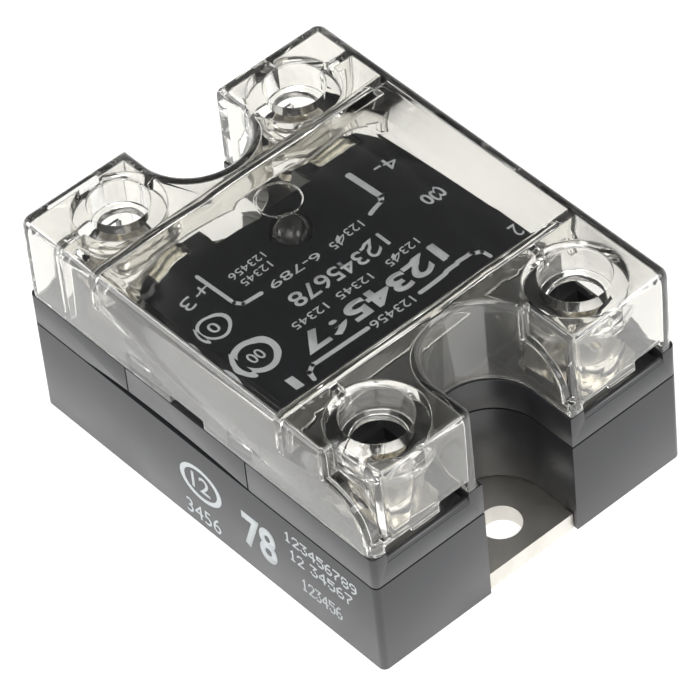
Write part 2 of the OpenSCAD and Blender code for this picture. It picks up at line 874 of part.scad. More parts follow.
// ------------------------------------------------------------- circuit board
module circuit_board() {
    color([0.12, 0.42, 0.22])
        difference() {
            span([-pcb_half, pcb_front, pcb_z], [pcb_half, pcb_rear, pcb_top]);
            span([-notch_half - wall - 1, room_rear - 1, pcb_z - 1],
                 [notch_half + wall + 1, pcb_rear + 1, pcb_top + 1]);
            for (s = [-1, 1]) {
                span([s * control_x - pin_w - fit_gap, control_leg_y - fit_gap, pcb_z - 1],
                     [s * control_x + pin_w + fit_gap, control_leg_y + control_strip_t + fit_gap, pcb_top + 1]);
                translate([s * (chip_x + chip_w / 2 - 0.6), pad_y - s * (chip_dy - 1 + chip_w / 2 - 0.2), pcb_z - 1])
                    cylinder(r = pin_w, h = pcb_t + 2);
                translate([s * 1.27, led_y, pcb_z - 1])
                    cylinder(r = 0.45, h = pcb_t + 2);
            }
        }
}

// Six-leg plastic package that carries the signal across the insulation
module optocoupler() {
    color([0.1, 0.1, 0.11])
        translate([-8, pad_y - 1, pcb_top]) {
            span([-4.4, -3.2, 0.5], [4.4, 3.2, 4]);
            for (x = [-2.54, 0, 2.54])
                for (s = [-1, 1])
                    span([x - 0.5, min(s * 3, s * 4.1), 0], [x + 0.5, max(s * 3, s * 4.1), 1.4]);
        }
}

module chip_resistors() {
    color([0.15, 0.15, 0.17])
        for (k = [0 : 4])
            translate([-14.5 + 2.8 * k, pad_y - 9.6, pcb_top])
                cube([1.6, 3.2, 0.6]);
}

module drive_transistor() {
    color([0.12, 0.12, 0.13])
        translate([-14.5, pad_y + 5.5, pcb_top]) {
            span([-1.5, -0.7, 0.1], [1.5, 0.7, 1.1]);
            for (x = [-0.95, 0.95])
                span([x - 0.2, -1.3, 0], [x + 0.2, -0.5, 0.3]);
            span([-0.2, 0.5, 0], [0.2, 1.3, 0.3]);
        }
}

module snubber_capacitor() {
    color([0.72, 0.62, 0.3])
        translate([9, pad_y - 4.2, pcb_top])
            span([-6.5, -2.5, 0], [6.5, 2.5, 9]);
}

module surge_suppressor() {
    color([0.2, 0.35, 0.6])
        translate([11, pad_y + 4.6, pcb_top + 5.4])
            rotate([90, 0, 0]) {
                translate([0, 0, -1.7])
                    cylinder(d = 10, h = 3.4);
                for (s = [-1, 1])
                    translate([s * 2.5, 0, 0])
                        span([-0.3, -5.4, -0.3], [0.3, -4, 0.3]);
            }
}

// ------------------------------------------------------------------- potting
// Soft gel poured over the power stage, taking the shape of what it covers
module potting_gel() {
    color([0.75, 0.75, 0.7, 0.6])
        difference() {
            translate([0, 0, plate_top + fit_gap])
                linear_extrude(gel_top - plate_top - fit_gap)
                    plan(wall + fit_gap, corner_r, notch_half);
            span([-sub_half, sub_front, plate_top - 1], [sub_half, sub_rear, chip_z]);
            pcb_ledges();
            thyristor_chips();
            for (s = [-1, 1]) {
                load_terminal(s);
                chip_clip(s);
            }
            gate_pins();
        }
}

base_plate();
lower_housing();
upper_housing();
clear_cover();
label();
status_led();
load_terminal_1();
load_terminal_2();
control_terminal_3();
control_terminal_4();
load_nuts();
control_nuts();
terminal_screw_1();
terminal_screw_2();
terminal_screw_3();
terminal_screw_4();
clamp_plate_1();
clamp_plate_2();
clamp_plate_3();
clamp_plate_4();
ceramic_substrate();
copper_pads();
thyristor_chips();
chip_clip_1();
chip_clip_2();
gate_pins();
circuit_board();
optocoupler();
chip_resistors();
drive_transistor();
snubber_capacitor();
surge_suppressor();
potting_gel();
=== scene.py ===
"""Looks of the panel-mount solid state relay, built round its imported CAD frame, in metres."""

import math

import bmesh
import bpy
from mathutils import Matrix, Vector


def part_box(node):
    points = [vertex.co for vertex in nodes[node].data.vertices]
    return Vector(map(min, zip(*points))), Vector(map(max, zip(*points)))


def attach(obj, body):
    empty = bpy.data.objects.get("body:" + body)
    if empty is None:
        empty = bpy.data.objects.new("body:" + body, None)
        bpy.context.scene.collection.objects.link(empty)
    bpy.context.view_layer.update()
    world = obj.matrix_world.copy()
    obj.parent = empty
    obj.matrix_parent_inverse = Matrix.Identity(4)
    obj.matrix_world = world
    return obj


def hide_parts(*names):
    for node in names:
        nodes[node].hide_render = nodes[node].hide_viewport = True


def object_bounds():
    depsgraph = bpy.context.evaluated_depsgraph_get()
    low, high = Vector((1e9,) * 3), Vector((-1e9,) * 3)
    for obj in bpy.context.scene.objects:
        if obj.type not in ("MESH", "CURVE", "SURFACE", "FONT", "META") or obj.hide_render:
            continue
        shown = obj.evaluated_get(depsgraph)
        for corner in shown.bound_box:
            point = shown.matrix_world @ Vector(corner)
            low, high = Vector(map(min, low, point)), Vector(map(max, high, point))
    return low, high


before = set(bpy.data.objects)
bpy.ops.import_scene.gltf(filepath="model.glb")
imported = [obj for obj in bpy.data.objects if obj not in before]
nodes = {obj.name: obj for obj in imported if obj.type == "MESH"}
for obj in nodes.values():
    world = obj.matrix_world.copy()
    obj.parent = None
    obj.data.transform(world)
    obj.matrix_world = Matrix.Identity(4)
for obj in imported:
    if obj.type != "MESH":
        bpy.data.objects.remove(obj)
cad_low, cad_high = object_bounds()

MM = 0.001

# ------------------------------------------------------------------ camera
# A long lens looks down on the front left corner and leans a little to one side.
# It aims at a point inside the case, just under the upper housing's deck.
CAMERA_AZIMUTH = -37.24
CAMERA_ELEVATION = 46.08
CAMERA_ROLL = 6.25
CAMERA_DISTANCE = 581.0 * MM
CAMERA_TARGET = Vector((-1.4, -1.45, 15.0)) * MM
LENS_LENGTH = 266.6

azimuth = math.radians(CAMERA_AZIMUTH)
elevation = math.radians(CAMERA_ELEVATION)
backwards = Vector((
    math.sin(azimuth) * math.cos(elevation),
    -math.cos(azimuth) * math.cos(elevation),
    math.sin(elevation),
))
camera = bpy.data.objects.new("camera", bpy.data.cameras.new("camera"))
bpy.context.scene.collection.objects.link(camera)
bpy.context.scene.camera = camera
camera.data.lens = LENS_LENGTH
camera.data.clip_start = 0.01
camera.data.clip_end = 20.0
camera.location = CAMERA_TARGET + backwards * CAMERA_DISTANCE
camera.rotation_mode = "QUATERNION"
tilt = Matrix.Rotation(-math.radians(CAMERA_ROLL), 4, "Z").to_quaternion()
camera.rotation_quaternion = (-backwards).to_track_quat("-Z", "Y") @ tilt


# -------------------------------------------------------------- base plate
# Aluminium plate, milled flat and tumbled, with sheared edges that keep fine drag lines.
# It carries the heat of the power stage down to the heatsink that it is bolted to.
def linear(hex_colour):
    """sRGB hex to linear RGBA."""
    parts = [int(hex_colour[i:i + 2], 16) / 255 for i in (1, 3, 5)]
    return [p / 12.92 if p <= 0.04045 else ((p + 0.055) / 1.055) ** 2.4 for p in parts] + [1.0]


def add(tree, kind, settings=None, **inputs):
    """Adds a node. An input's key is its name with _ for a space, or i and its number."""
    made = tree.nodes.new(kind)
    for key, value in (settings or {}).items():
        setattr(made, key, value)
    for key, value in inputs.items():
        number = key[1:] if key[0] == "i" and key[1:].isdigit() else None
        socket = made.inputs[int(number)] if number else made.inputs[key.replace("_", " ")]
        if isinstance(value, bpy.types.NodeSocket):
            tree.links.new(value, socket)
        else:
            socket.default_value = value
    return made


def new_material(name):
    """A material with an empty node tree and an Object coordinate in metres to start from."""
    made = bpy.data.materials.new(name)
    made.use_nodes = True
    made.node_tree.nodes.clear()
    where = add(made.node_tree, "ShaderNodeTexCoord").outputs["Object"]
    return made, made.node_tree, where


def finish_material(tree, shader):
    """Ends a material's tree in a surface shader."""
    add(tree, "ShaderNodeOutputMaterial", Surface=shader.outputs[0])


def dress(name, material):
    """Gives a CAD node its finish."""
    nodes[name].data.materials.clear()
    nodes[name].data.materials.append(material)


def metal(name, colours, roughness, grain_mm, stretch, depth_mm):
    """Metal that drifts between two tones, with shallow drag lines of one grain size."""
    made, tree, where = new_material(name)
    lines = add(tree, "ShaderNodeMapping", Vector=where, Scale=stretch)
    grain = add(tree, "ShaderNodeTexNoise", Vector=lines.outputs[0],
                Scale=1 / (grain_mm * MM), Detail=5.0, Roughness=0.6)
    clouds = add(tree, "ShaderNodeTexNoise", Vector=where, Scale=1 / (4 * MM), Detail=3.0)
    tone = add(tree, "ShaderNodeMix", {"data_type": "RGBA"}, i0=clouds.outputs[0],
               i6=linear(colours[0]), i7=linear(colours[1]))
    rough = add(tree, "ShaderNodeMapRange", Value=grain.outputs[0], i1=0.3, i2=0.7,
                i3=roughness[0], i4=roughness[1])
    relief = add(tree, "ShaderNodeBump", Height=grain.outputs[0], Distance=depth_mm * MM,
                 Strength=0.6)
    shader = add(tree, "ShaderNodeBsdfPrincipled", Base_Color=tone.outputs[2], Metallic=1.0,
                 Roughness=rough.outputs[0], Normal=relief.outputs[0])
    finish_material(tree, shader)
    return made


# Bare aluminium, a soft warm grey with streaks along the way it was milled.
plate_metal = metal("milled_aluminium", ("#C9C5BD", "#E4E1DA"), (0.28, 0.5), 0.5, (1, 6, 6), 0.01)

MERGE_DISTANCE = 0.002 * MM
FLAT_ANGLE = math.radians(0.5)
SHARP_ANGLE = math.radians(35.0)
SMOOTH_ANGLE = math.radians(30.0)


def softened(name, piece_name, width_mm, wide=None, wide_mm=1.0):
    """A copy of a CAD node with its coplanar triangles joined and its sharp edges rounded.

    Where wide is given, it picks the convex edges that get the wide radius, by their ends.
    """
    copy = bpy.data.objects.new(piece_name, nodes[name].data.copy())
    bpy.context.scene.collection.objects.link(copy)
    form = bmesh.new()
    form.from_mesh(copy.data)
    bmesh.ops.remove_doubles(form, verts=form.verts, dist=MERGE_DISTANCE)
    bmesh.ops.dissolve_limit(form, angle_limit=FLAT_ANGLE, verts=form.verts, edges=form.edges)
    weight = form.edges.layers.float.new("bevel_weight_edge")
    narrow = width_mm / wide_mm if wide else 1.0
    for edge in form.edges:
        if len(edge.link_faces) == 2 and edge.calc_face_angle() > SHARP_ANGLE:
            is_wide = wide and edge.is_convex and wide(edge.verts[0].co, edge.verts[1].co)
            edge[weight] = 1.0 if is_wide else narrow
    form.to_mesh(copy.data)
    form.free()
    rounding = copy.modifiers.new("rounding", "BEVEL")
    rounding.width = (wide_mm if wide else width_mm) * MM
    rounding.segments = 4 if wide else 2
    rounding.limit_method = "WEIGHT"
    rounding.use_clamp_overlap = not wide
    rounding.miter_outer = "MITER_ARC"
    settled = copy.evaluated_get(bpy.context.evaluated_depsgraph_get())
    copy.data = bpy.data.meshes.new_from_object(settled)
    copy.modifiers.clear()
    return copy


def shaded(piece):
    """Smooth shading that breaks at the sharper edges."""
    piece.data.shade_smooth()
    piece.data.set_sharp_from_angle(angle=SMOOTH_ANGLE)


dress("base_plate", plate_metal)

# ------------------------------------------------------------- power stage
# An alumina tile with copper pads carries two thyristor chips, bridged by copper clips.
# A soft silicone gel is poured over all of it.
# Fired alumina is matt and nearly white, with fine pits.
alumina, tree, where = new_material("fired_alumina")
pits = add(tree, "ShaderNodeTexNoise", Vector=where, Scale=1 / (0.3 * MM), Detail=4.0)
tone = add(tree, "ShaderNodeMix", {"data_type": "RGBA"}, i0=pits.outputs[0],
           i6=linear("#E4E1D8"), i7=linear("#F4F2EC"))
relief = add(tree, "ShaderNodeBump", Height=pits.outputs[0], Distance=0.01 * MM, Strength=0.5)
finish_material(tree, add(tree, "ShaderNodeBsdfPrincipled", Base_Color=tone.outputs[2],
                          Roughness=0.6, IOR=1.75, Normal=relief.outputs[0]))
dress("ceramic_substrate", alumina)

# Copper strip, pink and softly bright, with the rolls' lines along it.
rolled_copper = metal("rolled_copper", ("#B8714C", "#D28F68"), (0.25, 0.5), 0.4, (6, 1, 6), 0.006)
for name in ("copper_pads", "chip_clip_1", "chip_clip_2"):
    dress(name, rolled_copper)

# Silicon under a thin glass film, a dark mirror that shifts from blue to violet.
silicon, tree, where = new_material("passivated_silicon")
film = add(tree, "ShaderNodeTexNoise", Vector=where, Scale=1 / (2 * MM), Detail=2.0)
tone = add(tree, "ShaderNodeMix", {"data_type": "RGBA"}, i0=film.outputs[0],
           i6=linear("#3A3F52"), i7=linear("#57506A"))
finish_material(tree, add(tree, "ShaderNodeBsdfPrincipled", Base_Color=tone.outputs[2],
                          Metallic=0.7, Roughness=0.15))
dress("thyristor_chips", silicon)

# Drawn pins with a thin gold plating, yellow and bright.
gold_plate = metal("gold_plated_pin", ("#C9A04C", "#E3BE6E"), (0.2, 0.35), 0.3, (6, 6, 1), 0.004)
dress("gate_pins", gold_plate)

# Clear gel, a little milky and glossy.
gel, tree, where = new_material("silicone_gel")
haze = add(tree, "ShaderNodeTexNoise", Vector=where, Scale=1 / (3 * MM), Detail=2.0)
rough = add(tree, "ShaderNodeMapRange", Value=haze.outputs[0], i3=0.12, i4=0.3)
finish_material(tree, add(tree, "ShaderNodeBsdfPrincipled", Base_Color=linear("#E9E6DC"),
                          Roughness=rough.outputs[0], IOR=1.41, Transmission_Weight=0.8))
dress("potting_gel", gel)

# ----------------------------------------------------------- lower housing
# Black glass-filled polyester, moulded in a spark-eroded tool that leaves a fine even grain.
# The grain scatters the light, so the flat sides read as dark grey rather than black.
# Its grit is really about 0.05 mm, and is drawn four times coarser so that it shows.
moulded_black, tree, where = new_material("moulded_polyester")
grit = add(tree, "ShaderNodeTexNoise", Vector=where, Scale=1 / (0.22 * MM), Detail=3.0,
           Roughness=0.7)
flow = add(tree, "ShaderNodeTexNoise", Vector=where, Scale=1 / (9 * MM), Detail=3.0)
tone = add(tree, "ShaderNodeMix", {"data_type": "RGBA"}, i0=flow.outputs[0],
           i6=linear("#1D1E21"), i7=linear("#262628"))
rough = add(tree, "ShaderNodeMapRange", Value=flow.outputs[0], i1=0.3, i2=0.7, i3=0.28, i4=0.36)
relief = add(tree, "ShaderNodeBump", Height=grit.outputs[0], Distance=0.008 * MM, Strength=0.6)
finish_material(tree, add(tree, "ShaderNodeBsdfPrincipled", Base_Color=tone.outputs[2],
                          Roughness=rough.outputs[0], IOR=1.62, Normal=relief.outputs[0]))


def stands_for(piece, body, slot, material, *names):
    """Puts a finished piece on its body in place of CAD nodes."""
    piece.data.materials.clear()
    piece.data.materials.append(material)
    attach(piece, body)
    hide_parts(*names)


lower_case = softened("lower_housing", "lower_case", 0.15)
shaded(lower_case)
stands_for(lower_case, "housing", "housing_plastic", moulded_black, "lower_housing")

# ----------------------------------------------------------- circuit board
# Glass epoxy board under green solder mask, whose glass cloth shows as a faint check.
# It carries the parts that drive the thyristors, and it sits above the power stage.
solder_mask, tree, where = new_material("green_solder_mask")
weave = add(tree, "ShaderNodeTexBrick", Vector=where, Color1=linear("#1E5B36"),
            Color2=linear("#26683F"), Mortar=linear("#18492B"), Scale=1 / (1.6 * MM),
            Mortar_Size=0.06)
finish_material(tree, add(tree, "ShaderNodeBsdfPrincipled", Base_Color=weave.outputs[0],
                          Roughness=0.3, IOR=1.5))
dress("circuit_board", solder_mask)


def cast_resin(name, colours, roughness, grain_mm):
    """Cast or moulded resin with a faint mottle and a slightly pitted skin."""
    made, tree, where = new_material(name)
    mottle = add(tree, "ShaderNodeTexNoise", Vector=where, Scale=1 / (grain_mm * MM), Detail=4.0)
    tone = add(tree, "ShaderNodeMix", {"data_type": "RGBA"}, i0=mottle.outputs[0],
               i6=linear(colours[0]), i7=linear(colours[1]))
    relief = add(tree, "ShaderNodeBump", Height=mottle.outputs[0], Distance=0.01 * MM,
                 Strength=0.5)
    finish_material(tree, add(tree, "ShaderNodeBsdfPrincipled", Base_Color=tone.outputs[2],
                              Roughness=roughness, IOR=1.55, Normal=relief.outputs[0]))
    return made


# Moulded packages are matt and dark; dipped discs and boxes are brighter and glossier.
package_resin = cast_resin("package_epoxy", ("#1B1B1D", "#262628"), 0.45, 0.3)
for name in ("optocoupler", "chip_resistors", "drive_transistor"):
    dress(name, package_resin)
dress("snubber_capacitor", cast_resin("capacitor_epoxy", ("#B98F2E", "#C9A03E"), 0.35, 0.8))
dress("surge_suppressor", cast_resin("suppressor_epoxy", ("#2B4F86", "#36609B"), 0.3, 0.8))

# ----------------------------------------------------------- upper housing
# The second moulding, of the same polyester: band, deck, terminal trays and label block.
# It closes the lower housing along the seam, and its deck carries the terminals.
upper_case = softened("upper_housing", "upper_case", 0.12)
shaded(upper_case)
stands_for(upper_case, "housing", "housing_plastic", moulded_black, "upper_housing")

# --------------------------------------------------------------- terminals
# Tin-plated brass strips lie in the trays under the screws, with legs down to the board.
# Zinc-plated steel nuts are pressed into the bosses below. Tin gives a warm, soft mirror.
tinned_brass = metal("tinned_brass", ("#CFCCC2", "#ECEAE2"), (0.14, 0.32), 0.35, (1, 5, 5), 0.008)
for name in ("load_terminal_1", "load_terminal_2", "control_terminal_3", "control_terminal_4"):
    dress(name, tinned_brass)

# Bright zinc, a bluish grey that is a little streaked.
zinc_steel = metal("zinc_plated_steel", ("#A9ADB0", "#CDD1D3"), (0.25, 0.45), 0.3, (3, 3, 3),
                   0.006)
for name in ("load_nuts", "control_nuts"):
    dress(name, zinc_steel)

# -------------------------------------------------------- screws and clamps
# Nickel-plated pan heads with a combined slot and cross, each over a square clamp plate
# that grips the wire. The threads are rolled: M4 and M3.5. Nickel gives a warm, clear mirror.
bright_nickel = metal("bright_nickel", ("#CFCBC2", "#EDEAE3"), (0.12, 0.26), 0.4, (2, 2, 2), 0.005)


def new_tree(name, *numbers):
    """A Geometry Nodes tree with a geometry input, then named number inputs, and one output."""
    tree = bpy.data.node_groups.new(name, "GeometryNodeTree")
    tree.interface.new_socket("Geometry", in_out="INPUT", socket_type="NodeSocketGeometry")
    for number in numbers:
        tree.interface.new_socket(number, in_out="INPUT", socket_type="NodeSocketFloat")
    tree.interface.new_socket("Material", in_out="INPUT", socket_type="NodeSocketMaterial")
    tree.interface.new_socket("Geometry", in_out="OUTPUT", socket_type="NodeSocketGeometry")
    return tree, add(tree, "NodeGroupInput").outputs


def finish_tree(tree, result, given):
    """Ends a tree in plain geometry of one material."""
    plain = add(tree, "GeometryNodeRealizeInstances", Geometry=result)
    painted = add(tree, "GeometryNodeSetMaterial", Geometry=plain.outputs[0],
                  Material=given["Material"])
    add(tree, "NodeGroupOutput", Geometry=painted.outputs[0])


def grow(piece, tree, **values):
    """Runs a tree on a piece, with its inputs set by identifier, and keeps the plain mesh."""
    growth = piece.modifiers.new("growth", "NODES")
    growth.node_group = tree
    for socket in tree.interface.items_tree:
        key = socket.name.lower().replace(" ", "_")
        if socket.in_out == "INPUT" and key in values:
            growth[socket.identifier] = values[key]
    settled = piece.evaluated_get(bpy.context.evaluated_depsgraph_get())
    piece.data = bpy.data.meshes.new_from_object(settled)
    piece.modifiers.clear()


# The thread is a three-sided ridge swept up a helix round the core, both ends closed.
thread_tree, given = new_tree("rolled_thread", "Turns", "Core Radius", "Ridge", "Length",
                              "Centre X", "Centre Y", "Low Z")
helix = add(thread_tree, "GeometryNodeCurveSpiral", Resolution=24, Rotations=given["Turns"],
            Start_Radius=given["Core Radius"], End_Radius=given["Core Radius"],
            Height=given["Length"])
ridge = add(thread_tree, "GeometryNodeCurvePrimitiveCircle", Resolution=3, Radius=given["Ridge"])
sweep = add(thread_tree, "GeometryNodeCurveToMesh", Curve=helix.outputs[0],
            Profile_Curve=ridge.outputs[0], Fill_Caps=True)
foot = add(thread_tree, "ShaderNodeCombineXYZ", X=given["Centre X"], Y=given["Centre Y"],
           Z=given["Low Z"])
placed = add(thread_tree, "GeometryNodeTransform", Geometry=sweep.outputs[0],
             Translation=foot.outputs[0])
whole = add(thread_tree, "GeometryNodeJoinGeometry")
for part in (given["Geometry"], placed.outputs[0]):
    thread_tree.links.new(part, whole.inputs[0])
finish_tree(thread_tree, whole.outputs[0], given)

# Each screw's thread diameter and pitch, and the thread's form in parts of its pitch.
THREADS = {1: (4.0, 0.7), 2: (4.0, 0.7), 3: (3.5, 0.6), 4: (3.5, 0.6)}
CORE_DEPTH = 0.6
RIDGE_OFFSET = 0.15
RIDGE_RADIUS = 0.45
PLAIN_TURNS = 2
for number, (thread_d, pitch) in THREADS.items():
    screw = softened(f"terminal_screw_{number}", f"bright_screw_{number}", 0.12)
    low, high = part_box(f"terminal_screw_{number}")
    clamp_low, clamp_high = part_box(f"clamp_plate_{number}")
    axis = (low + high) / 2
    crest = thread_d / 2 * MM
    core = crest - CORE_DEPTH * pitch * MM
    for v in screw.data.vertices:
        out = (v.co - axis).xy
        if v.co.z < clamp_high.z - 0.05 * MM and out.length > core:
            v.co.xy = axis.xy + out.normalized() * core
    shaded(screw)
    grow(screw, thread_tree, turns=(clamp_low.z - low.z) / (pitch * MM) - PLAIN_TURNS,
         core_radius=core + RIDGE_OFFSET * pitch * MM, ridge=RIDGE_RADIUS * pitch * MM,
         length=clamp_low.z - low.z - PLAIN_TURNS * pitch * MM,
         centre_x=axis.x, centre_y=axis.y, low_z=low.z + pitch * MM, material=bright_nickel)
    stands_for(screw, f"screw_{number}", "screw_steel", bright_nickel, f"terminal_screw_{number}")
    clamp = softened(f"clamp_plate_{number}", f"wire_clamp_{number}", 0.08)
    shaded(clamp)
    stands_for(clamp, f"clamp_{number}", "terminal_metal", bright_nickel, f"clamp_plate_{number}")

# -------------------------------------------------------------- status light
# A five millimetre lamp cast in smoke-tinted epoxy, soldered to the board below the block.
# While it is off the lens looks nearly black, with one sharp highlight.
smoke_lens, tree, where = new_material("smoked_epoxy")
swirl = add(tree, "ShaderNodeTexNoise", Vector=where, Scale=1 / (1.5 * MM), Detail=2.0)
tone = add(tree, "ShaderNodeMix", {"data_type": "RGBA"}, i0=swirl.outputs[0],
           i6=linear("#2A2A2C"), i7=linear("#38383A"))
finish_material(tree, add(tree, "ShaderNodeBsdfPrincipled", Base_Color=tone.outputs[2],
                          Roughness=0.12, IOR=1.54))
dress("status_led", smoke_lens)

# --------------------------------------------------------------------- label
# Satin black polyester film stuck on the block, with white screen-printed lines and numbers.
# Its skin is very fine, and is drawn at 0.25 mm to show. A few specks of dust lie on it.
satin_film, tree, where = new_material("satin_label_film")
dust = add(tree, "ShaderNodeTexVoronoi", Vector=where, Scale=1 / (1.1 * MM), Randomness=1.0)
speck = add(tree, "ShaderNodeMapRange", Value=dust.outputs["Distance"], i1=0.03, i2=0.06,
            i3=1.0, i4=0.0)
skin = add(tree, "ShaderNodeTexNoise", Vector=where, Scale=1 / (0.25 * MM), Detail=3.0)
tone = add(tree, "ShaderNodeMix", {"data_type": "RGBA"}, i0=speck.outputs[0],
           i6=linear("#12161C"), i7=linear("#343A42"))
relief = add(tree, "ShaderNodeBump", Height=skin.outputs[0], Distance=0.004 * MM, Strength=0.4)
finish_material(tree, add(tree, "ShaderNodeBsdfPrincipled", Base_Color=tone.outputs[2],
                          Roughness=0.38, IOR=1.5, Normal=relief.outputs[0]))
dress("label", satin_film)

label_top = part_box("label")[1].z
INK_T = 0.02 * MM
LINE_W = 0.55


def join(pieces, name):
    """One mesh object at the origin from several."""
    form = bmesh.new()
    for piece in pieces:
        piece.data.transform(piece.matrix_world)
        form.from_mesh(piece.data)
        bpy.data.objects.remove(piece)
    joined = bpy.data.objects.new(name, bpy.data.meshes.new(name))
    bpy.context.scene.collection.objects.link(joined)
    form.to_mesh(joined.data)
    form.free()
    return joined


def digits(text, start, end, height, place, bold=0.0):
    """Flat numbers that fill a length and a height, in mm, laid out by place(u, v)."""
    curve = bpy.data.curves.new("digits", "FONT")
    curve.body = text
    curve.offset = bold
    writing = bpy.data.objects.new("digits", curve)
    bpy.context.scene.collection.objects.link(writing)
    bpy.context.view_layer.update()
    settled = writing.evaluated_get(bpy.context.evaluated_depsgraph_get())
    flat = bpy.data.meshes.new_from_object(settled)
    bpy.data.objects.remove(writing)
    xs = [v.co.x for v in flat.vertices]
    ys = [v.co.y for v in flat.vertices]
    across = (end - start) / (max(xs) - min(xs))
    up = height / (max(ys) - min(ys))
    for v in flat.vertices:
        v.co = place((v.co.x - min(xs)) * across + start, (v.co.y - min(ys)) * up)
    return flat


def thickened(flat, name, direction):
    """A solid from a flat ink outline, pushed out along a direction."""
    form = bmesh.new()
    form.from_mesh(flat)
    bmesh.ops.remove_doubles(form, verts=form.verts, dist=0.001 * MM)
    faces = list(form.faces)
    raised = bmesh.ops.extrude_face_region(form, geom=faces, use_keep_orig=True)
    tops = [g for g in raised["geom"] if isinstance(g, bmesh.types.BMVert)]
    bmesh.ops.translate(form, verts=tops, vec=Vector(direction) * INK_T)
    bmesh.ops.recalc_face_normals(form, faces=form.faces)
    mesh = bpy.data.meshes.new(name)
    form.to_mesh(mesh)
    form.free()
    piece = bpy.data.objects.new(name, mesh)
    bpy.context.scene.collection.objects.link(piece)
    return piece


END_STEPS = 10
RING_SIDES = 40


def stroke(points, width, place):
    """A flat line of even width through points, in mm, with round ends and joints."""
    form = bmesh.new()
    half_turn = [math.pi * k / END_STEPS for k in range(END_STEPS + 1)]
    for a, b in zip(points, points[1:]):
        run = Vector(b) - Vector(a)
        turn = math.atan2(run.y, run.x)
        rim = [(b, turn - math.pi / 2 + t) for t in half_turn]
        rim += [(a, turn + math.pi / 2 + t) for t in half_turn]
        corners = [(end[0] + width / 2 * math.cos(t), end[1] + width / 2 * math.sin(t))
                   for end, t in rim]
        form.faces.new([form.verts.new(place(*corner)) for corner in corners])
    mesh = bpy.data.meshes.new("stroke")
    form.to_mesh(mesh)
    form.free()
    return mesh


def ring(centre, radius, width, place):
    """A flat ring, in mm."""
    form = bmesh.new()
    loops = []
    turns = [2 * math.pi * k / RING_SIDES for k in range(RING_SIDES)]
    for r in (radius - width / 2, radius + width / 2):
        points = [(centre[0] + r * math.cos(t), centre[1] + r * math.sin(t)) for t in turns]
        loops.append([form.verts.new(place(*point)) for point in points])
    inner, outer = loops
    for k in range(RING_SIDES):
        n = (k + 1) % RING_SIDES
        form.faces.new((inner[k], outer[k], outer[n], inner[n]))
    mesh = bpy.data.meshes.new("ring")
    form.to_mesh(mesh)
    form.free()
    return mesh


# The label reads from the rear: lines of print run towards -X and their tops point to -Y.
def on_label(left, low):
    """Place on the label of a row that starts at a left end and stands on a low edge, in mm."""
    return lambda u, v: Vector((left - u, low - v, 0)) * MM + Vector((0, 0, label_top))


def across_label(u, v):
    """Place on the label of a point of its lines and rings, in mm."""
    return Vector((-u, v, 0)) * MM + Vector((0, 0, label_top))


# Rows of numbers: text, left and right ends, low edge, height and boldness.
label_rows = [
    ("12345", 6.4, 1.6, 3.9, 1.2, 0.0),
    ("6-789", -0.2, -7.8, 3.9, 1.2, 0.0),
    ("12345678", 6.6, -7.7, 0.9, 2.3, 0.01),
    ("12345", 9.1, 4.2, -2.6, 1.1, 0.0),
    ("12345", 1.6, -3.6, -2.6, 1.1, 0.0),
    ("12345", -5.2, -10.1, -2.6, 1.1, 0.0),
    ("1234567", 10.0, -11.6, -4.6, 3.0, 0.035),
    ("123456", 2.4, -3.9, -8.4, 1.2, 0.0),
    ("12345", -5.4, -9.7, 6.6, 1.1, 0.0),
    ("123456", -4.9, -10.1, 8.3, 1.1, 0.0),
    ("+3", -12.9, -16.6, 10.0, 2.0, 0.0),
    ("4-", 16.9, 13.4, 10.0, 2.0, 0.0),
    ("1", -15.2, -16.4, -8.4, 2.0, 0.0),
    ("2", 18.4, 17.2, -8.4, 2.0, 0.0),
    ("00", 16.6, 13.8, 2.2, 2.0, 0.02),
    ("0", -15.6, -17.0, 4.7, 1.7, 0.01),
    ("00", -14.9, -17.1, -2.3, 1.7, 0.01),
]
label_lines = [
    [(12.7, 10.8), (12.4, 4.6), (11.7, 3.7), (9.2, 3.4)],
    [(-11.2, 10.9), (-11.3, 5.3), (-10.8, 4.5), (-8.1, 3.6)],
    [(4.4, -8.9), (12.5, -8.8), (13.5, -9.3), (13.75, -10.4)],
    [(-3.6, -8.9), (-12.0, -8.8), (-13.0, -9.3), (-13.2, -10.4)],
]
label_rings = [((16.3, 3.85), 1.9, 0.4), ((16.0, -3.15), 2.5, 0.8)]
flat_ink = [digits(text, 0, left - right, height, on_label(left, low), bold)
            for text, left, right, low, height, bold in label_rows]
flat_ink += [stroke(line, LINE_W, across_label) for line in label_lines]
flat_ink += [ring(centre, radius, width, across_label) for centre, radius, width in label_rings]

# Dense ink, matt and a little bluish.
white_ink = cast_resin("white_screen_ink", ("#DADFE7", "#EEF2F8"), 0.6, 0.4)
label_print = join([thickened(flat, "ink", (0, 0, 1)) for flat in flat_ink], "label_print")
label_print.data.materials.append(white_ink)
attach(label_print, "housing")

# ---------------------------------------------------------------- side print
# Pale grey ink, pad-printed on the lower housing's long side in one thin matt coat.
# The print is numbers only, with one ring.
case_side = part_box("lower_housing")[0].x


def on_side(left, low):
    """Place on the long side of a row that starts at a left end, on a low edge, in mm."""
    return lambda u, v: Vector((0, left - u, low + v)) * MM + Vector((case_side, 0, 0))


RING_CENTRE = (0.75, 7.55)
RING_STRETCH = (1.1, 0.82)


def round_number(u, v):
    """Place on the long side of a point of the ring, which is an oval, in mm."""
    along = RING_CENTRE[0] - u * RING_STRETCH[0]
    up = RING_CENTRE[1] + v * RING_STRETCH[1]
    return Vector((0, along, up)) * MM + Vector((case_side, 0, 0))


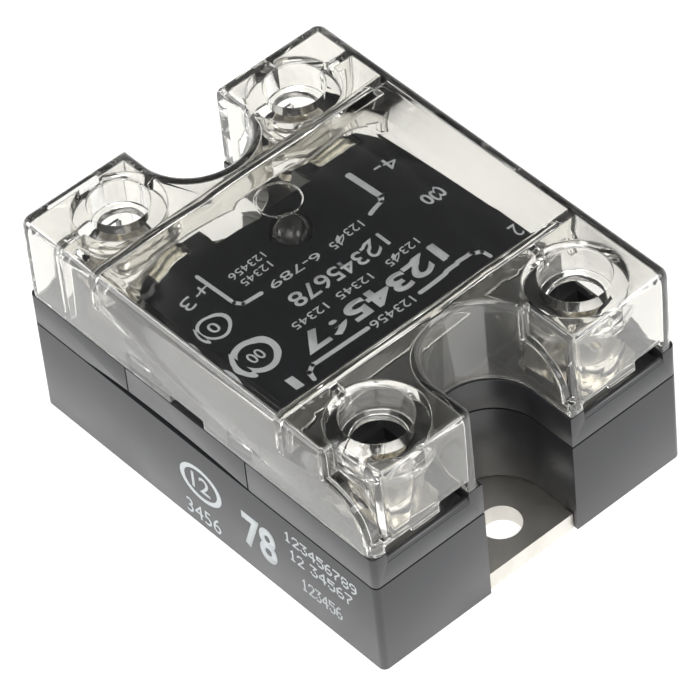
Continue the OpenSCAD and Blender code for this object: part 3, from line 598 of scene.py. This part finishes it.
side_rows = [
    ("12", 2.3, -0.8, 6.3, 2.6, 0.01),
    ("3456", 3.9, -2.0, 1.1, 2.3, 0.0),
    ("78", -6.3, -12.0, 3.4, 5.6, 0.03),
]
flat_ink = [digits(text, 0, left - right, height, on_side(left, low), bold)
            for text, left, right, low, height, bold in side_rows]
flat_ink.append(ring((0, 0), 2.9, 0.7, round_number))
pad_ink = cast_resin("grey_pad_ink", ("#A9AEB0", "#C4C8C9"), 0.6, 0.25)
side_print = join([thickened(flat, "ink", (-1, 0, 0)) for flat in flat_ink], "side_print")
side_print.data.materials.append(pad_ink)
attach(side_print, "housing")

# ---------------------------------------------------------------- date code
# Four rows of numbers, jetted on the long side as single dots of the same ink.
# A number is five dots across and seven high, and each value below is one row's bits.
DOTS_ACROSS = 5
DOTS_HIGH = 7
DOT_DIGITS = {
    "1": (4, 12, 4, 4, 4, 4, 14),
    "2": (14, 17, 1, 2, 4, 8, 31),
    "3": (31, 2, 4, 2, 1, 17, 14),
    "4": (2, 6, 10, 18, 31, 2, 2),
    "5": (31, 16, 30, 1, 1, 17, 14),
    "6": (6, 8, 16, 30, 17, 17, 14),
    "7": (31, 1, 2, 4, 8, 8, 8),
    "8": (14, 17, 17, 14, 17, 17, 14),
    "9": (14, 17, 17, 15, 1, 2, 12),
}
dot_rows = [
    ("123456789", -13.9, 10.0, 12.0, 1.4),
    ("12", -14.5, 7.3, 2.4, 1.5),
    ("34567", -18.0, 7.5, 7.0, 1.5),
    ("123456", -16.1, 3.5, 6.7, 1.7),
]
dots = []
for text, left, low, length, height in dot_rows:
    step = length / ((DOTS_ACROSS + 1) * len(text) - 1)
    place = on_side(left, low)
    for number, digit in enumerate(text):
        for row, bits in enumerate(DOT_DIGITS[digit]):
            v = height * (DOTS_HIGH - 1 - row) / (DOTS_HIGH - 1)
            dots += [place(((DOTS_ACROSS + 1) * number + column) * step, v)
                     for column in range(DOTS_ACROSS) if bits >> (DOTS_ACROSS - 1 - column) & 1]
cloud = bpy.data.meshes.new("date_code")
cloud.from_pydata(dots, [], [])
date_code = bpy.data.objects.new("date_code", cloud)
bpy.context.scene.collection.objects.link(date_code)

dot_tree, given = new_tree("jetted_dots", "Dot Radius", "Ink Thickness")
dot = add(dot_tree, "GeometryNodeMeshCylinder", Vertices=8, Radius=given["Dot Radius"],
          Depth=given["Ink Thickness"])
lying = add(dot_tree, "GeometryNodeTransform", Geometry=dot.outputs[0],
            Rotation=(0, math.pi / 2, 0))
spread = add(dot_tree, "GeometryNodeInstanceOnPoints", Points=given["Geometry"],
             Instance=lying.outputs[0])
finish_tree(dot_tree, spread.outputs[0], given)
grow(date_code, dot_tree, dot_radius=0.14 * MM, ink_thickness=2 * INK_T, material=pad_ink)
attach(date_code, "housing")

# --------------------------------------------------------------- clear cover
# Injection-moulded polycarbonate: a polished roof, and walls left a little hazy by the tool.
# The roof's rim and the noses' upright edges are well rounded; the rest has a small radius.
polycarbonate, tree, where = new_material("clear_polycarbonate")
ripple = add(tree, "ShaderNodeTexNoise", Vector=where, Scale=1 / (6 * MM), Detail=2.0)
haze = add(tree, "ShaderNodeTexNoise", Vector=where, Scale=1 / (0.6 * MM), Detail=3.0)
rough = add(tree, "ShaderNodeMapRange", Value=haze.outputs[0], i1=0.3, i2=0.8, i3=0.02, i4=0.05)
relief = add(tree, "ShaderNodeBump", Height=ripple.outputs[0], Distance=0.015 * MM, Strength=0.4)
facing = add(tree, "ShaderNodeSeparateXYZ",
             Vector=tree.nodes["Texture Coordinate"].outputs["Normal"])
level = add(tree, "ShaderNodeMath", {"operation": "ABSOLUTE"}, i0=facing.outputs["Z"])
clearness = add(tree, "ShaderNodeMapRange", Value=level.outputs[0], i1=0.5, i2=0.95,
                i3=0.95, i4=1.0)
finish_material(tree, add(tree, "ShaderNodeBsdfPrincipled", Base_Color=linear("#F7F6F2"),
                          Roughness=rough.outputs[0], IOR=1.585,
                          Transmission_Weight=clearness.outputs[0], Normal=relief.outputs[0]))

RIM_ROUND = 1.3
TOUCHING = 0.01 * MM
TUBE_REACH = 6 * MM
UPRIGHT_LEAST = 5 * MM
cover_low, cover_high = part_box("clear_cover")
screw_boxes = [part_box(f"terminal_screw_{n}") for n in range(1, 5)]


def on_cover_rim(a, b):
    """Whether an edge from a to b is on the roof's rim or is a nose's upright front edge."""
    middle = (a + b) / 2
    if min(a.z, b.z) > cover_high.z - TOUCHING:
        return all((middle - (low + high) / 2).xy.length > TUBE_REACH for low, high in screw_boxes)
    at_front = max(a.y, b.y) < cover_low.y + TOUCHING
    upright = (a - b).xy.length < TOUCHING
    return at_front and upright and abs(a.z - b.z) > UPRIGHT_LEAST


cover_shell = softened("clear_cover", "clear_shell", 0.2, wide=on_cover_rim, wide_mm=RIM_ROUND)
shaded(cover_shell)
stands_for(cover_shell, "cover", "clear_plastic", polycarbonate, "clear_cover")

# -------------------------------------------------------------------- studio
# A white sweep lit from below like a light table, a pale room, and two large soft boxes.
# The room is dark high behind the relay, so that its roof and label don't turn milky.
FLOOR_HALF = 3.0
FLOOR_GAP = 0.02 * MM
floor_form = bmesh.new()
bmesh.ops.create_grid(floor_form, x_segments=1, y_segments=1, size=FLOOR_HALF)
floor_mesh = bpy.data.meshes.new("floor")
floor_form.to_mesh(floor_mesh)
floor_form.free()
floor = bpy.data.objects.new("floor", floor_mesh)
bpy.context.scene.collection.objects.link(floor)
floor.location.z = cad_low.z - FLOOR_GAP
light_table = bpy.data.materials.new("light_table")
light_table.use_nodes = True
light_table.node_tree.nodes.clear()
finish_material(light_table.node_tree, add(
    light_table.node_tree, "ShaderNodeBsdfPrincipled", Base_Color=linear("#D8D8D8"), Roughness=0.9,
    Emission_Color=linear("#FFFFFF"), Emission_Strength=0.7))
floor.data.materials.append(light_table)

world = bpy.data.worlds.new("pale_room")
bpy.context.scene.world = world
world.use_nodes = True
world.node_tree.nodes.clear()
DARK_DIRECTION = (0.42, 0.55, 0.72)
direction = add(world.node_tree, "ShaderNodeTexCoord").outputs["Generated"]
facing = add(world.node_tree, "ShaderNodeVectorMath", {"operation": "DOT_PRODUCT"},
             i0=direction, i1=DARK_DIRECTION)
shade = add(world.node_tree, "ShaderNodeMapRange", {"interpolation_type": "SMOOTHSTEP"},
            Value=facing.outputs["Value"], i1=0.6, i2=0.93, i3=0.75, i4=0.1)
room = add(world.node_tree, "ShaderNodeBackground", Color=linear("#FFFFFF"),
           Strength=shade.outputs[0])
add(world.node_tree, "ShaderNodeOutputWorld", Surface=room.outputs[0])


def soft_box(name, place, size, power):
    """A rectangular lamp that faces the relay."""
    lamp = bpy.data.objects.new(name, bpy.data.lights.new(name, "AREA"))
    bpy.context.scene.collection.objects.link(lamp)
    lamp.data.shape = "RECTANGLE"
    lamp.data.size, lamp.data.size_y = size
    lamp.data.energy = power
    lamp.location = place
    lamp.rotation_mode = "QUATERNION"
    lamp.rotation_quaternion = (CAMERA_TARGET - Vector(place)).to_track_quat("-Z", "Y")


soft_box("left_box", (-0.52, 0.41, 0.30), (0.4, 0.4), 2.0)
soft_box("right_box", (0.315, -0.52, 0.39), (0.4, 0.4), 2.0)
soft_box("top_box", (-0.3, -0.35, 0.75), (0.5, 0.5), 2.5)

bpy.context.scene.view_settings.view_transform = "Standard"
